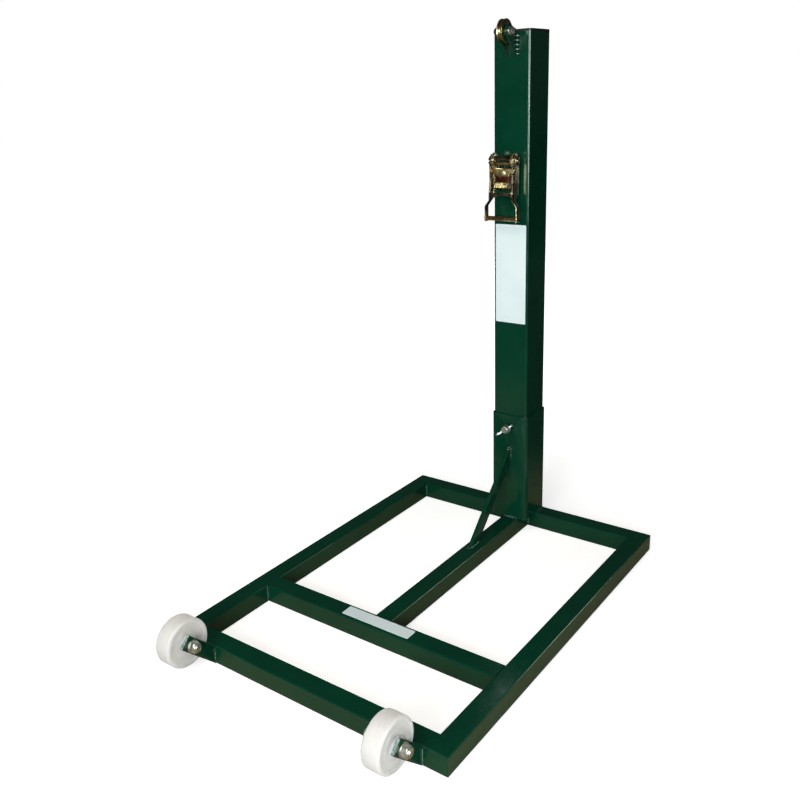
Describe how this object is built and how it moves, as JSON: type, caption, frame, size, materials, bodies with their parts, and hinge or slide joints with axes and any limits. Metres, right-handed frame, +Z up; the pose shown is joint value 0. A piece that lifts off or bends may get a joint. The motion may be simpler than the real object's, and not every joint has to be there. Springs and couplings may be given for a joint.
{
  "type": "tennis net post",
  "caption": "Free-standing net post on a tubular base with transport wheels, a cable pulley at the top and a ratchet tensioner.",
  "frame": {"origin": "on the floor, on the post's axis, at the underside of the base's spine", "axes": "+Z up along the post, +Y towards the net, +X to the right seen from the wheel end"},
  "size_m": [0.6, 0.891, 1.08],
  "materials": {
    "green_enamel": "gloss",
    "zinc": "satin",
    "yellow_zinc": "satin",
    "white_nylon": "satin",
    "bronze": "satin",
    "black_plastic": "satin",
    "label_film": "satin"
  },
  "bodies": {
    "base": {"side_rail_left": "green_enamel", "side_rail_right": "green_enamel", "rear_crossbar": "green_enamel", "front_crossbar": "green_enamel", "mid_crossbar": "green_enamel", "centre_spine": "green_enamel", "post_sleeve": "green_enamel", "brace_strut": "green_enamel", "base_weld_beads": "green_enamel", "wheel_brackets_left": "green_enamel", "wheel_brackets_right": "green_enamel", "axle_bolts": "zinc", "axle_washers": "zinc", "axle_nuts": "zinc", "axle_spacers": "zinc", "clamp_nut": "green_enamel", "base_label": "label_film"},
    "post": {"post_tube": "green_enamel", "post_cap": "black_plastic", "post_label": "label_film", "post_weld_beads": "green_enamel", "pulley_ears": "green_enamel", "pulley_bolt": "zinc", "pulley_washers": "zinc", "pulley_nut": "zinc", "ratchet_lug": "green_enamel", "ratchet_bolt": "zinc", "ratchet_nut": "zinc", "ratchet_frame": "yellow_zinc", "lock_spring": "zinc"},
    "clamp_screw": {"clamp_screw": "zinc"},
    "clamp_wing": {"clamp_wing": "zinc"},
    "wheel_left": {"wheel_left": "white_nylon"},
    "wheel_right": {"wheel_right": "white_nylon"},
    "pulley": {"pulley_wheel": "yellow_zinc", "pulley_bush": "bronze"},
    "ratchet_handle": {"ratchet_handle": "yellow_zinc", "grip_bar": "yellow_zinc", "drive_springs": "zinc"},
    "spool": {"spool_halves": "yellow_zinc", "ratchet_wheels": "yellow_zinc", "spool_pins": "zinc"},
    "drive_pawl": {"drive_pawl": "yellow_zinc"},
    "lock_pawl": {"lock_pawl": "yellow_zinc"}
  },
  "joints": [
    {"name": "post_lift", "type": "slide", "parent": "base", "child": "post", "axis": [0, 0, 1], "range_m": [0, 0.25]},
    {"name": "clamp_wing_turn", "type": "hinge", "parent": "clamp_screw", "child": "clamp_wing", "pos_m": [0, -0.053, 0.257], "axis": [0, -1, 0], "range_deg": [0, 1440]},
    {"name": "clamp_screw_feed", "type": "slide", "parent": "base", "child": "clamp_screw", "axis": [0, -1, 0], "range_m": [0, 0.006]},
    {"name": "wheel_left_spin", "type": "hinge", "parent": "base", "child": "wheel_left", "pos_m": [-0.226, -0.80246, 0.06505], "axis": [1, 0, 0], "continuous": true},
    {"name": "wheel_right_spin", "type": "hinge", "parent": "base", "child": "wheel_right", "pos_m": [0.226, -0.80246, 0.06505], "axis": [1, 0, 0], "continuous": true},
    {"name": "pulley_spin", "type": "hinge", "parent": "post", "child": "pulley", "pos_m": [0, -0.068, 1.058], "axis": [1, 0, 0], "continuous": true},
    {"name": "ratchet_handle_swing", "type": "hinge", "parent": "post", "child": "ratchet_handle", "pos_m": [-0.003, -0.063, 0.824], "axis": [-1, 0, 0], "range_deg": [0, 170]},
    {"name": "spool_spin", "type": "hinge", "parent": "post", "child": "spool", "pos_m": [-0.003, -0.063, 0.824], "axis": [-1, 0, 0], "continuous": true},
    {"name": "drive_pawl_slide", "type": "slide", "parent": "ratchet_handle", "child": "drive_pawl", "axis": [0, 0, -1], "range_m": [0, 0.004], "stiffness_N_per_m": 600, "springref_m": -0.004, "deforming": ["drive_springs"]},
    {"name": "lock_pawl_slide", "type": "slide", "parent": "post", "child": "lock_pawl", "axis": [0, 0, -1], "range_m": [0, 0.004], "stiffness_N_per_m": 600, "springref_m": -0.004, "deforming": ["lock_spring"]}
  ],
  "couplings": [
    {"joint": "clamp_wing_turn", "follows": "clamp_screw_feed", "rad_per_m": 4188.8}
  ]
}
